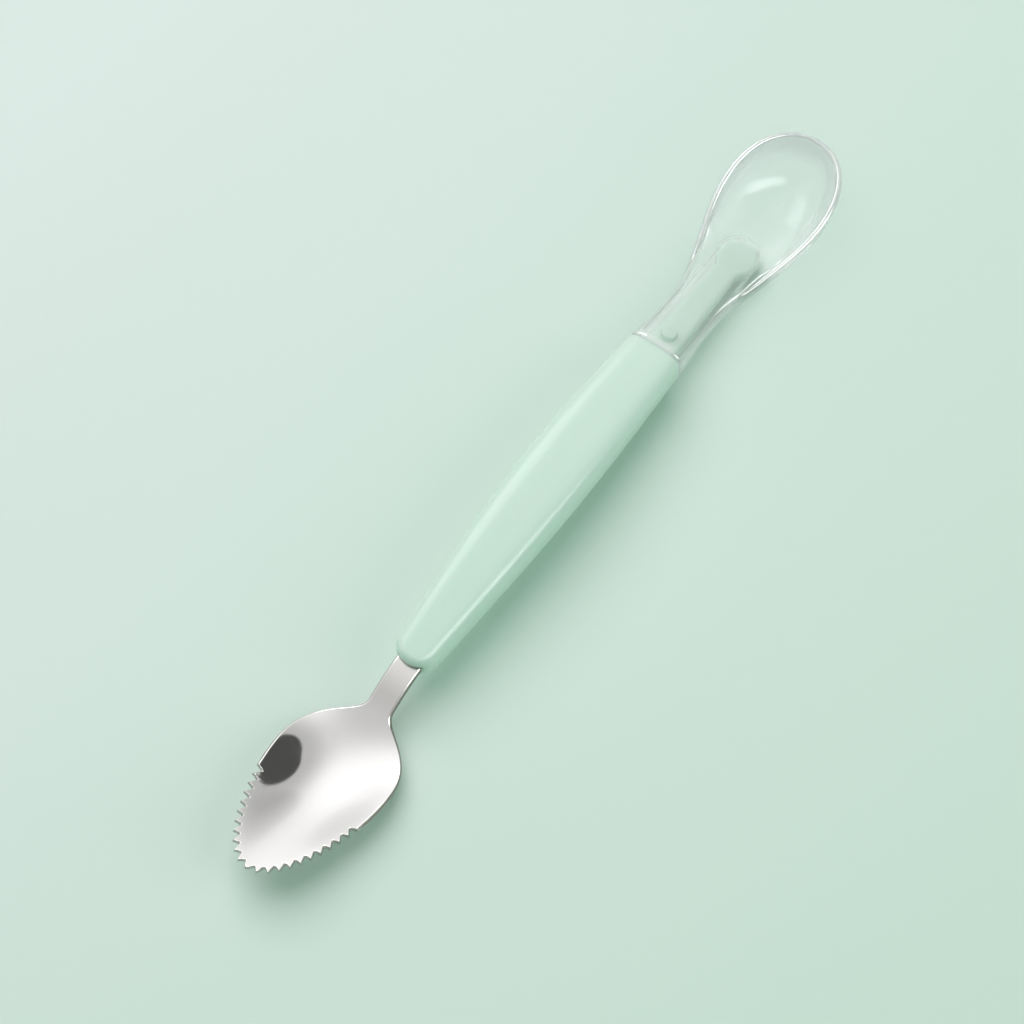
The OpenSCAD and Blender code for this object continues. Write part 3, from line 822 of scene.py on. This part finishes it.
tongue = {
    "length": 30.6, "rootW": 5.8, "waistW": 4.1, "thick": 2.7, "square": 5.0, "root": 2.0,
    "tipD": 7.6, "tipT": 2.0, "tipSquare": 6, "flare": 1.2,
    "buttonD": 2.9, "buttonH": 1.0, "buttonAt": 4.8, "buttonRound": 0.35,
    "sides": 48, "barRings": 60, "tipRings": 24, "tipCut": 0.985, "roundRings": 6,
}
tipR = tongue["tipD"] / 2
tipAt = tongue["length"] - tipR


def tongueRing(x):
    bar = mix(tongue["rootW"], tongue["waistW"], min(1.0, max(0.0, x / tipAt))) / 2
    disc = math.sqrt(max(0.0, tipR ** 2 - (x - tipAt) ** 2))
    halfW = disc if x > tipAt else -smoothMin(-bar, -disc, tongue["flare"])
    halfT = mix(tongue["thick"], tongue["tipT"], ease((x - tipAt + tipR) / tipR)) / 2
    endShare = sagitta(max(0.0, (x - tipAt) / tipR), tongue["tipSquare"])
    ring = []
    for a in fullTurn(tongue["sides"]):
        y = halfW * superPower(math.cos(a), tongue["square"])
        z = halfT * endShare * superPower(math.sin(a), tongue["square"])
        ring.append(atMouth((x, y, z)))
    return ring


def makeTongue():
    stations = [mix(-tongue["root"], tipAt, f) for f in steps(tongue["barRings"], False)]
    shares = [min(f, tongue["tipCut"]) for f in steps(tongue["tipRings"])]  # ends just short of the tip
    stations += [tipAt + tipR * math.sin(math.pi / 2 * f) for f in shares]
    return meshObject("tongue", ringLoft([tongueRing(x) for x in stations]))


def makeButton():
    r, turn = tongue["buttonD"] / 2, tongue["buttonRound"]
    top = tongue["thick"] / 2 + tongue["buttonH"]
    profile = [(r, 0.0)]
    for a in quarterTurn(tongue["roundRings"]):
        profile.append((r - turn + turn * math.cos(a), top - turn + turn * math.sin(a)))
    rings = []
    for radius, z in profile:
        rings.append([
            atMouth((tongue["buttonAt"] + radius * math.cos(a), radius * math.sin(a), z))
            for a in fullTurn(tongue["sides"])
        ])
    return meshObject("button", ringLoft(rings))


def makeHandle():
    obj = meshObject("handle", bmesh.new())
    runTree(obj, gripTree(), {
        "Stations": grip["stations"], "Sides": grip["sides"], "Crowding": grip["crowding"],
        "Start": steelEndX - grip["lead"],
        "Length": grip["length"] + grip["lead"], "Belly": grip["belly"] + grip["lead"],
        "Width": grip["width"], "Height": grip["height"],
        "Steel End Width": grip["steelEndW"], "Steel End Height": grip["steelEndH"],
        "Mouth Width": grip["mouthW"], "Mouth Height": grip["mouthH"],
        "Nose": grip["nose"], "Nose End": grip["noseEnd"],
        "Edge": grip["edge"], "Edge End": grip["edgeEnd"], "Square": grip["square"],
        "Arch Radius": archR, "Arch Top": archTop, "Droop": grip["steelDroop"], "Material": mintPlastic,
    })
    bm = bmesh.new()
    bm.from_mesh(obj.data)
    bmesh.ops.recalc_face_normals(bm, faces=bm.faces)
    bm.to_mesh(obj.data)
    bm.free()
    boolean(obj, makeTongue(), "UNION")
    boolean(obj, makeButton(), "UNION")
    # masks for the tongue's painted shade and for the painted contact shadow at the steel
    for name, weight in (("headShade", headShade), ("steelSeamShade", steelSeamShade)):
        layer = obj.data.attributes.new(name, "FLOAT", "POINT")
        layer.data.foreach_set("value", [weight(v.co) for v in obj.data.vertices])
    smoothShade(obj, grip["sharp"])
    dress(obj, mintPlastic, "spoon", "handle")
    print("handle:", len(obj.data.polygons), "faces")


makeHandle()


# Clear head: a soft socket that opens into a bowl, drawn as ribs from its middle line to its rim

head = {
    "length": 52.2, "waistW": 9.8, "waistH": 5.6, "waistAt": 10.6, "width": 21.0, "belly": 38.4,
    "wall": 1.3, "bowlSquare": 2.2, "footShare": 0.3, "seatGap": 0.1, "mouthRound": 0.8, "mouthFade": 1.0,
    "rimRise": 9.0, "rimFrom": 1.1, "crownFrom": 1.4,  # the last two are in lengths of waistAt
    "lip": 0.7, "lipFrom": 18.0, "lipFade": 10.0, "lipOuter": 15, "lipInner": 11, "sharp": 50,
    "underRun": 8.0, "restRun": 12.0,
    "socketW": 8.0, "socketH": 3.1, "socketEnd": 31.0, "socketSquare": 5.0, "endSquare": 8, "endLead": 0.004,
}
headHolds = {"waist": 0.42, "belly": 0.64, "tip": 0.56, "nose": 0.29}  # shares, as on the scraper
scoop = {"lead": 6.0, "edgeRun": 3.6, "edgeRise": 0.2, "fallRun": 4.4, "floorRun": 1.5}
headDetail = {  # points on its curves, and rows of its mesh
    "neckPlan": 40, "plan": 200, "under": 120, "bottom": 30, "lip": 12, "inner": 30,
    "endRows": 24, "socketRows": 40, "mouthRows": 4, "rows": 110, "tipRows": 60,
}
socketR = head["socketEnd"] - tipAt


def neckShare(x):
    return ease(x / head["waistAt"])


def curve(points, count):
    return [bezier(points, t) for t in steps(headDetail[count])]


neckRun = [head["waistAt"] * f for f in steps(headDetail["neckPlan"], False)]
headPlan = [(x, mix(grip["mouthW"], head["waistW"], neckShare(x)) / 2) for x in neckRun]
headPlan += curve([
    (head["waistAt"], head["waistW"] / 2),
    (mix(head["waistAt"], head["belly"], headHolds["waist"]), head["waistW"] / 2),
    (mix(head["waistAt"], head["belly"], headHolds["belly"]), head["width"] / 2),
    (head["belly"], head["width"] / 2),
], "plan")
tipPlan = [
    (head["belly"], head["width"] / 2),
    (mix(head["belly"], head["length"], headHolds["tip"]), head["width"] / 2),
    (head["length"], head["width"] * headHolds["nose"]),
    (head["length"], 0.0),
]
waistUnder = grip["mouthZ"] - head["waistAt"] * headSin - head["waistH"] / 2 * headCos
underLine = curve([  # height of the underside above the table, past the waist
    (head["waistAt"], waistUnder),
    (head["waistAt"] + head["underRun"], waistUnder - head["underRun"] * headSin),
    (head["belly"] - head["restRun"], 0.0),
    (head["belly"], 0.0),
], "under")


def underZ(x):
    if x < head["waistAt"]:
        return -mix(grip["mouthH"], head["waistH"], neckShare(x)) / 2
    return (lookup(underLine, x) - grip["mouthZ"] + x * headSin) / headCos


def rimZ(x):
    start = head["rimFrom"] * head["waistAt"]
    return head["rimRise"] * ease((x - start) / (head["length"] - start))


def crownH(x):
    if x < head["waistAt"]:
        return mix(grip["mouthH"], head["waistH"], neckShare(x)) / 2
    return mix(head["waistH"] / 2, head["lip"], ease(x / (head["crownFrom"] * head["waistAt"]) - 1))


scoopFrom = head["socketEnd"] - scoop["lead"]
scoopFloor = underZ(head["belly"]) + head["wall"]
scoopLine = curve([
    (scoopFrom, rimZ(scoopFrom) + crownH(scoopFrom)),
    (head["socketEnd"] + scoop["edgeRun"], head["waistH"] / 2 + scoop["edgeRise"]),
    (head["socketEnd"] + scoop["fallRun"], scoopFloor),
    (head["belly"] + scoop["floorRun"], scoopFloor),
], "plan")


def headTop(x):
    # height of the middle of the upper side: the neck's crown, then the floor of the scoop
    if x < scoopFrom:
        return rimZ(x) + crownH(x)
    return max(lookup(scoopLine, x), underZ(x) + head["wall"])


bottomTurns = quarterTurn(headDetail["bottom"])
lipTurns = [math.pi * f for f in steps(headDetail["lip"])][1:]
innerTurns = quarterTurn(headDetail["inner"])[1:]
topCount = len(lipTurns) + len(innerTurns)


def headRib(footX, edgeX, edgeY):
    # out along the underside and back over the top, which turns from the neck's crown into a lip and a scoop
    square = mix(grip["square"], head["bowlSquare"], ease(footX / head["belly"]))
    rim = rimZ(edgeX)
    under = underZ(footX)
    top = headTop(footX)
    run = Vector((edgeX - footX, edgeY))
    lipShare = ease((footX - head["lipFrom"]) / head["lipFade"])
    wall = head["wall"] / run.length
    points = []

    def add(f, z):
        points.append((footX + run.x * f, run.y * f, z))

    def arch(a):
        return superPower(math.cos(a), square), rim + (top - rim) * superPower(math.sin(a), square)

    for a in bottomTurns:
        f = superPower(math.sin(a), square)
        add(f, rim - (rim - under) * superPower(math.cos(a), square))
    bowlSide = [(1 - wall / 2 + wall / 2 * math.cos(a), rim + head["lip"] * math.sin(a)) for a in lipTurns]
    for a in innerTurns:
        f, z = arch(a)
        bowlSide.append(((1 - wall) * f, z))
    for i, (bowlF, bowlZ) in enumerate(bowlSide):
        crownF, crownZ = arch(math.pi / 2 * (i + 1) / topCount)
        add(mix(crownF, bowlF, lipShare), mix(crownZ, bowlZ, lipShare))
    return points


def socketRib(x):
    halfW = head["socketW"] / 2
    if x > tipAt:
        halfW = min(halfW, math.sqrt(max(0.0, socketR ** 2 - (x - tipAt) ** 2)))
    halfH = head["socketH"] / 2 * sagitta(max(0.0, (x - tipAt) / socketR), head["endSquare"])
    turns = [a - math.pi / 2 for a in bottomTurns]
    turns += [math.pi / 2 * i / topCount for i in range(1, topCount + 1)]
    points = []
    for a in turns:
        y = halfW * superPower(math.cos(a), head["socketSquare"])
        points.append((x, y, halfH * superPower(math.sin(a), head["socketSquare"])))
    return points


def shrunkRib(rib, x, inset):
    # the mouth's own section drawn in by an inset, for its rounded edge
    halfW = max(p[1] for p in rib)
    halfH = max(p[2] for p in rib)
    return [(x, p[1] * (1 - inset / halfW), p[2] * (1 - inset / halfH)) for p in rib]


def lipWeights(mouth):
    # 1 on the rim and on the mouth's edge, easing to 0 on the walls over a count of points
    last = len(bottomTurns) - 1
    rim = [1 - ease((last - i) / head["lipOuter"]) for i in range(len(bottomTurns))]
    rim += [1.0] * len(lipTurns)
    rim += [1 - ease(i / head["lipInner"]) for i in range(len(innerTurns))]
    return [max(mouth, w) for w in rim]


def makeHead():
    shares = [min(1.0, f + head["endLead"]) for f in steps(headDetail["endRows"])]
    rows = [socketRib(tipAt + socketR * math.sin(math.pi / 2 * f)) for f in shares[::-1]]
    rows += [socketRib(mix(tipAt, head["seatGap"], f)) for f in steps(headDetail["socketRows"])[1:]]
    socketRows = len(rows)
    mouthRib = headRib(head["seatGap"], head["seatGap"], lookup(headPlan, head["seatGap"]))
    start = head["seatGap"] + head["mouthRound"]
    for a in quarterTurn(headDetail["mouthRows"]):
        x = start - head["mouthRound"] * math.cos(a)
        rows.append(shrunkRib(mouthRib, x, head["mouthRound"] * (1 - math.sin(a))))
    for f in steps(headDetail["rows"])[1:]:
        x = mix(start, head["belly"], f)
        rows.append(headRib(x, x, lookup(headPlan, x)))
    for f in steps(headDetail["tipRows"])[1:]:
        p = bezier(tipPlan, f)
        foot = mix(head["belly"], head["length"], head["footShare"] * f)
        rows.append(headRib(foot, p[0], p[1]))
    lipEdge = [[0.0] * len(row) for row in rows[:socketRows]]
    lipEdge += [lipWeights(1 - ease((row[0][0] - start) / head["mouthFade"])) for row in rows[socketRows:]]
    rows = [[atMouth(p) for p in row] for row in rows]
    for row in rows:
        row[0] = (row[0][0], 0.0, row[0][2])
        row[-1] = (row[-1][0], 0.0, row[-1][2])
    rows[0] = [(p[0], 0.0, p[2]) for p in rows[0]]
    rows[-1] = [(p[0], 0.0, p[2]) for p in rows[-1]]
    obj = meshObject("clearSpoonHead", mirroredGrid(rows, False, [("lipEdge", lipEdge)]))
    smoothShade(obj, head["sharp"])
    dress(obj, clearSilicone, "soft_head", "clear_spoon_head")
    print("clear head:", len(obj.data.polygons), "faces")


makeHead()


# Stage: floor, lamps, world and camera

stage = {  # floorSize and fadeHalf are in metres, floorDrop is in mm; the floor's two colours are painted shade at -Y and painted light at +Y
    "floorSize": 1.6, "floorDrop": 0.1, "floorShadedNear": (210, 235, 220), "floorLitFar": (226, 240, 233),
    "fadeHalf": 0.13, "floorRough": 0.7, "horizon": (208, 228, 218),
    "ambient": 0.25, "ambientTint": (0.6, 1.12, 0.88),
    "studio": 0.58, "cameraView": 1.0, "glassView": 2.2, "darkest": 0.085,
}
lamps = {  # place and width in metres, power and colour
    "keyLamp": ((0.15, 0.41, 0.85), 1.2, 7.5, (1.125, 0.948, 1.048)),
    "fillLamp": ((0.2, -0.85, 0.6), 0.9, 2.5, (1.1, 0.94, 1.02)),
}
studioPatches = [  # direction, full angle, fade angle, gain: soft boxes and cards that only mirrors see
    ((0.353, 0.609, 0.711), 0, 72, 0.68),
    ((0.34, 0.66, 0.67), 8, 22, 3.0),
    ((0.658, -0.747, 0.094), 18, 30, -0.05),
    ((0.92, -0.16, 0.36), 5, 20, -0.12),
    ((0.545, 0.797, -0.26), 20, 31, -0.08),
]
sideBox = {  # a long soft box on the clear head's shadow side
    "direction": (0.106, -0.698, 0.765), "full": 10, "fade": 34,
    "normal": (0.763, 0.525, 0.375), "near": 4, "far": 15, "gain": 6.0,
}
darkCard = {  # an oval card that the steel bowl mirrors
    "along": (-0.654, -0.164, 0.739), "halfLength": 0.362,
    "across": (-0.392, -0.762, -0.516), "halfWidth": 0.155, "soft": 0.07, "gain": -1.2,
}


def makeFloor():
    half = stage["floorSize"] / 2
    mesh = bpy.data.meshes.new("floor")
    corners = [(-half, -half), (half, -half), (half, half), (-half, half)]
    mesh.from_pydata([(x, y, -stage["floorDrop"] * mm) for x, y in corners], [], [(0, 1, 2, 3)])
    floor = bpy.data.objects.new("floor", mesh)
    bpy.context.scene.collection.objects.link(floor)
    material, tree, shader = newMaterial("paleFloor")
    place = tree.nodes.new("ShaderNodeSeparateXYZ")
    tree.links.new(tree.nodes.new("ShaderNodeTexCoord").outputs["Object"], place.inputs[0])
    # the floor's colour fades from darker at -Y to lighter at +Y over fadeHalf either side: painted shade
    # and painted light
    fade = mathNode(tree, "MULTIPLY_ADD", place.outputs["Y"], 0.5 / stage["fadeHalf"], 0.5)
    shade = tintNode(tree, fade, linear(*stage["floorShadedNear"]), linear(*stage["floorLitFar"]))
    tree.links.new(shade, shader.inputs["Base Color"])
    shader.inputs["Roughness"].default_value = stage["floorRough"]
    mesh.materials.append(material)


def areaLamp(name, place, size, power, colour):
    lamp = bpy.data.lights.new(name, "AREA")
    lamp.shape = "DISK"
    lamp.size = size
    lamp.energy = power
    lamp.color = colour
    obj = bpy.data.objects.new(name, lamp)
    obj.location = place
    obj.rotation_mode = "QUATERNION"
    obj.rotation_quaternion = (-Vector(place)).to_track_quat("-Z", "Y")
    obj.visible_glossy = False
    bpy.context.scene.collection.objects.link(obj)


def skyDot(tree, direction):
    coords = tree.nodes.new("ShaderNodeTexCoord")
    dot = tree.nodes.new("ShaderNodeVectorMath")
    dot.operation = "DOT_PRODUCT"
    tree.links.new(coords.outputs["Generated"], dot.inputs[0])
    dot.inputs[1].default_value = direction
    return dot.outputs["Value"]


def skyRamp(tree, value, low, high):
    # 0 where a value is low, easing to 1 where it is high
    ramp = tree.nodes.new("ShaderNodeMapRange")
    ramp.interpolation_type = "SMOOTHSTEP"
    tree.links.new(value, ramp.inputs["Value"])
    ramp.inputs["From Min"].default_value = low
    ramp.inputs["From Max"].default_value = high
    return ramp.outputs["Result"]


def skyPatch(tree, direction, full, fade):
    value = skyDot(tree, Vector(direction).normalized())
    return skyRamp(tree, value, math.cos(math.radians(fade)), math.cos(math.radians(full)))


def skyBox(tree, box):
    aside = mathNode(tree, "ABSOLUTE", skyDot(tree, Vector(box["normal"]).normalized()))
    across = skyRamp(tree, aside, math.sin(math.radians(box["far"])), math.sin(math.radians(box["near"])))
    return mathNode(tree, "MULTIPLY", skyPatch(tree, box["direction"], box["full"], box["fade"]), across)


def skyOval(tree, card):
    long = skyDot(tree, Vector(card["along"]) / card["halfLength"])
    wide = skyDot(tree, Vector(card["across"]) / card["halfWidth"])
    reach = mathNode(tree, "MULTIPLY_ADD", long, long, mathNode(tree, "MULTIPLY", wide, wide))
    return skyRamp(tree, mathNode(tree, "SQRT", reach), 1 + card["soft"], 1 - card["soft"])


def makeWorld():
    # an even tinted ambient light; mirrors see the studio's patches, clear parts see plain white
    # and the camera sees a pale horizon
    world = bpy.data.worlds.new("studio")
    world.use_nodes = True
    tree = world.node_tree
    level = stage["studio"]
    for direction, full, fade, gain in studioPatches:
        level = mathNode(tree, "MULTIPLY_ADD", skyPatch(tree, direction, full, fade), gain, level)
    level = mathNode(tree, "MULTIPLY_ADD", skyBox(tree, sideBox), sideBox["gain"], level)
    level = mathNode(tree, "MULTIPLY_ADD", skyOval(tree, darkCard), darkCard["gain"], level)
    level = mathNode(tree, "MAXIMUM", level, stage["darkest"])
    rays = tree.nodes.new("ShaderNodeLightPath").outputs
    strength, seen = stage["ambient"], 0.0
    views = {"Camera": stage["cameraView"], "Transmission": stage["glassView"], "Glossy": level}
    for ray, value in views.items():
        strength = mixNode(tree, rays[f"Is {ray} Ray"], strength, value)
        seen = mathNode(tree, "MAXIMUM", seen, rays[f"Is {ray} Ray"])
    background = tree.nodes["Background"]
    shade = tintNode(tree, seen, stage["ambientTint"], (1.0, 1.0, 1.0))
    shade = tintNode(tree, rays["Is Camera Ray"], shade, linear(*stage["horizon"]))
    tree.links.new(shade, background.inputs["Color"])
    tree.links.new(strength, background.inputs["Strength"])
    bpy.context.scene.world = world


camera = {  # angles in degrees, distance in metres, lens and sensor in mm, and the aim in mm on the picture
    "azimuth": -54.61, "elevation": 63.84, "distance": 1.0, "lens": 198.6, "sensor": 36.0, "nearest": 0.05,
    "aim": (-5.345, 0.442), "aimX": 0.27,
}


def makeCamera():
    a, e = math.radians(camera["azimuth"]), math.radians(camera["elevation"])
    right = Vector((math.cos(a), math.sin(a), 0))
    back = Vector((math.sin(a) * math.cos(e), -math.cos(a) * math.cos(e), math.sin(e)))
    up = back.cross(right)
    target = (right * camera["aim"][0] + up * camera["aim"][1] + Vector((camera["aimX"], 0, 0))) * mm
    data = bpy.data.cameras.new("photoCamera")
    data.lens = camera["lens"]
    data.sensor_width = camera["sensor"]
    data.clip_start = camera["nearest"]
    obj = bpy.data.objects.new("photoCamera", data)
    obj.location = target + back * camera["distance"]
    obj.rotation_mode = "QUATERNION"
    obj.rotation_quaternion = (-back).to_track_quat("-Z", "Y")
    bpy.context.scene.collection.objects.link(obj)
    bpy.context.scene.camera = obj


makeFloor()
makeWorld()
for lampName, values in lamps.items():
    areaLamp(lampName, *values)
makeCamera()
bpy.context.scene.view_settings.view_transform = "Standard"
print("stage ready")
